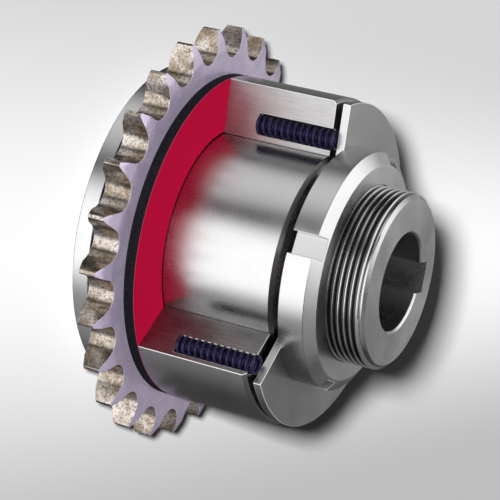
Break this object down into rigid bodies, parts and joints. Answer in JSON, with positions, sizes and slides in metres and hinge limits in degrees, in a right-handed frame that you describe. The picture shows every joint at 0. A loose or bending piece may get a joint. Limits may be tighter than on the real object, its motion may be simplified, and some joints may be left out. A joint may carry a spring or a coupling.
{
  "type": "torque limiter",
  "caption": "Friction torque limiter with a chain sprocket clamped between lined faces by coil springs, shown cut away, with a keyed bore and an adjusting nut.",
  "frame": {"origin": "centre of the keyed bore on the rear face of the hub's flange, on which the part stands", "axes": "+Z along the bore, towards the threaded end; the cut-away window faces -Y; X and Y as the picture's view sets them, azimuth 0 looking along +Y"},
  "size_m": [0.1071, 0.1073, 0.0692],
  "materials": {
    "hub_steel": "fine turned steel, satin",
    "friction_lining": "black friction material with a crimson painted face in the cut-away",
    "bush_bronze": "sintered bronze, machined",
    "sprocket_steel": "lavender-grey heat-treated steel, straw-stained tooth gaps",
    "housing_steel": "turned steel, bright milled cut faces",
    "key_steel": "ground key steel",
    "spring_paint": "dark violet painted spring wire",
    "plate_steel": "turned steel, bright edges",
    "nut_steel": "turned steel with a bright bevel"
  },
  "bodies": {
    "hub": {"hub": "hub_steel", "rear_lining": "friction_lining", "drive_key_1": "key_steel", "drive_key_2": "key_steel"},
    "sprocket": {"sprocket": "sprocket_steel", "sprocket_bush": "bush_bronze"},
    "spring_housing": {"spring_housing": "housing_steel", "front_lining": "friction_lining", "spring_01": "spring_paint", "spring_02": "spring_paint", "spring_03": "spring_paint", "spring_04": "spring_paint", "spring_05": "spring_paint", "spring_06": "spring_paint", "spring_07": "spring_paint", "spring_08": "spring_paint", "spring_09": "spring_paint", "spring_10": "spring_paint", "spring_11": "spring_paint", "spring_12": "spring_paint"},
    "pressure_plate": {"pressure_plate": "plate_steel"},
    "adjusting_nut": {"adjusting_nut": "nut_steel"}
  },
  "joints": [
    {"name": "sprocket_slip", "type": "hinge", "parent": "hub", "child": "sprocket", "pos_m": [0, 0, 0.011], "axis": [0, 0, 1], "continuous": true},
    {"name": "housing_lift", "type": "slide", "parent": "hub", "child": "spring_housing", "axis": [0, 0, 1], "range_m": [0, 0.0008], "deforming": ["spring_01", "spring_02", "spring_03", "spring_04", "spring_05", "spring_06", "spring_07", "spring_08", "spring_09", "spring_10", "spring_11", "spring_12"]},
    {"name": "plate_travel", "type": "slide", "parent": "hub", "child": "pressure_plate", "axis": [0, 0, 1], "range_m": [-0.0006, 0.0024], "deforming": ["spring_01", "spring_02", "spring_03", "spring_04", "spring_05", "spring_06", "spring_07", "spring_08", "spring_09", "spring_10", "spring_11", "spring_12"]},
    {"name": "nut_turn", "type": "hinge", "parent": "pressure_plate", "child": "adjusting_nut", "pos_m": [0, 0, 0.0549], "axis": [0, 0, 1], "range_deg": [-108, 432]}
  ],
  "couplings": [
    {"joint": "plate_travel", "follows": "nut_turn", "m_per_rad": 0.00031831}
  ]
}
